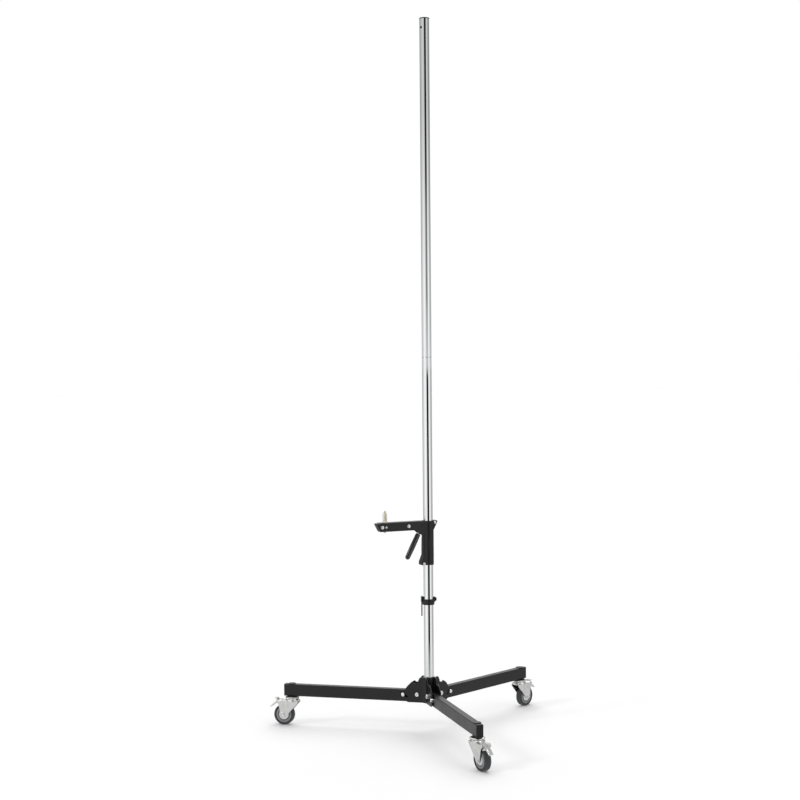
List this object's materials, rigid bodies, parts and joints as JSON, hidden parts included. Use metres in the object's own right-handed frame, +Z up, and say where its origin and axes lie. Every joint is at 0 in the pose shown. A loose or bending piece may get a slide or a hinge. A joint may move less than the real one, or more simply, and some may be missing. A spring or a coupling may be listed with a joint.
{
  "type": "studio column stand",
  "caption": "Rolling studio column stand: tall jointed tube on folding legs with braked casters, a sliding arm with release lever and lift-out spigot, and a clamped stop collar.",
  "frame": {"origin": "on the column's axis at floor level, under the hub", "axes": "+Z up along the column; -Y out along the front leg, +X to the right as seen from the front leg"},
  "size_m": [1.042, 0.902, 2.54],
  "materials": {
    "column_chrome": "polished chrome plate",
    "bright_steel": "bright zinc-plated steel",
    "black_paint": "satin black powder coat",
    "black_casting": "black powder-coated casting",
    "black_plastic": "moulded, satin",
    "zinc_plate": "zinc-plated pressed steel",
    "wheel_core": "moulded light grey",
    "tyre_rubber": "smooth dark grey rubber",
    "nylon": "natural nylon",
    "brass_stud": "turned, lightly tarnished"
  },
  "bodies": {
    "hub": {"hub_core": "black_casting", "hub_plate_left": "black_paint", "hub_plate_right": "black_paint", "hub_plate_rear": "black_paint", "hub_clamp_ring": "black_casting", "hub_screws": "bright_steel", "pivot_bolts": "bright_steel", "pivot_spacers": "bright_steel", "lower_tube": "column_chrome", "upper_tube": "column_chrome", "tube_connector": "bright_steel", "tube_screws": "bright_steel"},
    "leg_left": {"leg_tube_left": "black_paint", "leg_end_cap_left": "black_plastic", "stem_socket_left": "black_plastic", "lock_spring_left": "bright_steel", "caster_mount_left": "zinc_plate"},
    "lock_left": {"lock_pin_left": "bright_steel"},
    "caster_left": {"caster_fork_left": "zinc_plate", "caster_axle_left": "zinc_plate"},
    "wheel_left": {"wheel_hub_left": "wheel_core", "tyre_left": "tyre_rubber"},
    "brake_left": {"brake_pedal_left": "zinc_plate"},
    "leg_front": {"leg_tube_front": "black_paint", "leg_end_cap_front": "black_plastic", "stem_socket_front": "black_plastic", "lock_spring_front": "bright_steel", "caster_mount_front": "zinc_plate"},
    "lock_front": {"lock_pin_front": "bright_steel"},
    "caster_front": {"caster_fork_front": "zinc_plate", "caster_axle_front": "zinc_plate"},
    "wheel_front": {"wheel_hub_front": "wheel_core", "tyre_front": "tyre_rubber"},
    "brake_front": {"brake_pedal_front": "zinc_plate"},
    "leg_right": {"leg_tube_right": "black_paint", "leg_end_cap_right": "black_plastic", "stem_socket_right": "black_plastic", "lock_spring_right": "bright_steel", "caster_mount_right": "zinc_plate"},
    "lock_right": {"lock_pin_right": "bright_steel"},
    "caster_right": {"caster_fork_right": "zinc_plate", "caster_axle_right": "zinc_plate"},
    "wheel_right": {"wheel_hub_right": "wheel_core", "tyre_right": "tyre_rubber"},
    "brake_right": {"brake_pedal_right": "zinc_plate"},
    "stop_collar": {"stop_collar": "black_casting"},
    "stop_lever": {"stop_lever": "column_chrome"},
    "stop_knob": {"stop_knob": "black_plastic"},
    "arm_glide": {"glide_rings": "nylon"},
    "arm": {"arm_shell_near": "black_casting", "arm_shell_far": "black_casting", "spigot_socket": "bright_steel", "arm_bolts": "bright_steel", "grip_sleeves": "bright_steel", "lever_pin": "black_plastic", "lever_spring": "bright_steel"},
    "lever": {"release_lever": "bright_steel", "lever_grip": "black_plastic"},
    "shoe": {"brake_shoe": "nylon"},
    "spigot": {"spigot": "brass_stud"}
  },
  "joints": [
    {"name": "leg_fold_left", "type": "hinge", "parent": "hub", "child": "leg_left", "pos_m": [-0.03507, 0.02025, 0.135], "axis": [0.5, 0.866, 0], "range_deg": [0, 86]},
    {"name": "lock_slide_left", "type": "slide", "parent": "leg_left", "child": "lock_left", "axis": [-0.7423, 0.4286, 0.515], "range_m": [-0.0145, 0], "deforming": ["lock_spring_left"]},
    {"name": "caster_swivel_left", "type": "hinge", "parent": "leg_left", "child": "caster_left", "pos_m": [-0.44427, 0.2565, 0.095], "axis": [0, 0, 1], "continuous": true},
    {"name": "wheel_spin_left", "type": "hinge", "parent": "caster_left", "child": "wheel_left", "pos_m": [-0.47025, 0.2715, 0.0375], "axis": [-0.5, -0.866, 0], "continuous": true},
    {"name": "brake_release_left", "type": "hinge", "parent": "caster_left", "child": "brake_left", "pos_m": [-0.48757, 0.2815, 0.084], "axis": [0.5, 0.866, 0], "range_deg": [0, 20]},
    {"name": "leg_fold_front", "type": "hinge", "parent": "hub", "child": "leg_front", "pos_m": [0, -0.0405, 0.135], "axis": [-1, 0, 0], "range_deg": [0, 86]},
    {"name": "lock_slide_front", "type": "slide", "parent": "leg_front", "child": "lock_front", "axis": [0, -0.8572, 0.515], "range_m": [-0.0145, 0], "deforming": ["lock_spring_front"]},
    {"name": "caster_swivel_front", "type": "hinge", "parent": "leg_front", "child": "caster_front", "pos_m": [0, -0.513, 0.095], "axis": [0, 0, 1], "continuous": true},
    {"name": "wheel_spin_front", "type": "hinge", "parent": "caster_front", "child": "wheel_front", "pos_m": [0.00675, -0.54223, 0.0375], "axis": [0.9744, 0.225, 0], "continuous": true},
    {"name": "brake_release_front", "type": "hinge", "parent": "caster_front", "child": "brake_front", "pos_m": [0.01125, -0.56172, 0.084], "axis": [-0.9744, -0.225, 0], "range_deg": [0, 20]},
    {"name": "leg_fold_right", "type": "hinge", "parent": "hub", "child": "leg_right", "pos_m": [0.03507, 0.02025, 0.135], "axis": [0.5, -0.866, 0], "range_deg": [0, 86]},
    {"name": "lock_slide_right", "type": "slide", "parent": "leg_right", "child": "lock_right", "axis": [0.7423, 0.4286, 0.515], "range_m": [-0.0145, 0], "deforming": ["lock_spring_right"]},
    {"name": "caster_swivel_right", "type": "hinge", "parent": "leg_right", "child": "caster_right", "pos_m": [0.44427, 0.2565, 0.095], "axis": [0, 0, 1], "continuous": true},
    {"name": "wheel_spin_right", "type": "hinge", "parent": "caster_right", "child": "wheel_right", "pos_m": [0.47025, 0.2715, 0.0375], "axis": [-0.5, 0.866, 0], "continuous": true},
    {"name": "brake_release_right", "type": "hinge", "parent": "caster_right", "child": "brake_right", "pos_m": [0.48757, 0.2815, 0.084], "axis": [0.5, -0.866, 0], "range_deg": [0, 20]},
    {"name": "stop_slide", "type": "slide", "parent": "hub", "child": "stop_collar", "axis": [0, 0, 1], "range_m": [-0.2, 0.05]},
    {"name": "stop_lever_swing", "type": "hinge", "parent": "stop_collar", "child": "stop_lever", "pos_m": [-0.02383, 0.0042, 0.4825], "axis": [0.1736, 0.9848, 0], "range_deg": [0, 100]},
    {"name": "stop_knob_turn", "type": "hinge", "parent": "stop_collar", "child": "stop_knob", "pos_m": [0.02649, -0.00467, 0.4755], "axis": [0.9848, -0.1736, 0], "continuous": true},
    {"name": "arm_slide", "type": "slide", "parent": "hub", "child": "arm_glide", "axis": [0, 0, 1], "range_m": [-0.05, 1.75]},
    {"name": "arm_swing", "type": "hinge", "parent": "arm_glide", "child": "arm", "pos_m": [0, 0, 0.7], "axis": [0, 0, 1], "continuous": true},
    {"name": "lever_squeeze", "type": "hinge", "parent": "arm", "child": "lever", "pos_m": [-0.02683, -0.00301, 0.741], "axis": [0.1115, -0.9938, 0], "range_deg": [0, 11], "stiffness_Nm_per_rad": 2, "springref_deg": -8.59, "deforming": ["lever_spring"]},
    {"name": "shoe_release", "type": "slide", "parent": "arm", "child": "shoe", "axis": [-0.9938, -0.1115, 0], "range_m": [0, 0.0015]},
    {"name": "spigot_lift", "type": "slide", "parent": "arm", "child": "spigot", "axis": [0, 0, 1], "range_m": [0, 0.0525]}
  ],
  "couplings": [
    {"joint": "shoe_release", "follows": "lever_squeeze", "m_per_rad": 0.00719}
  ]
}
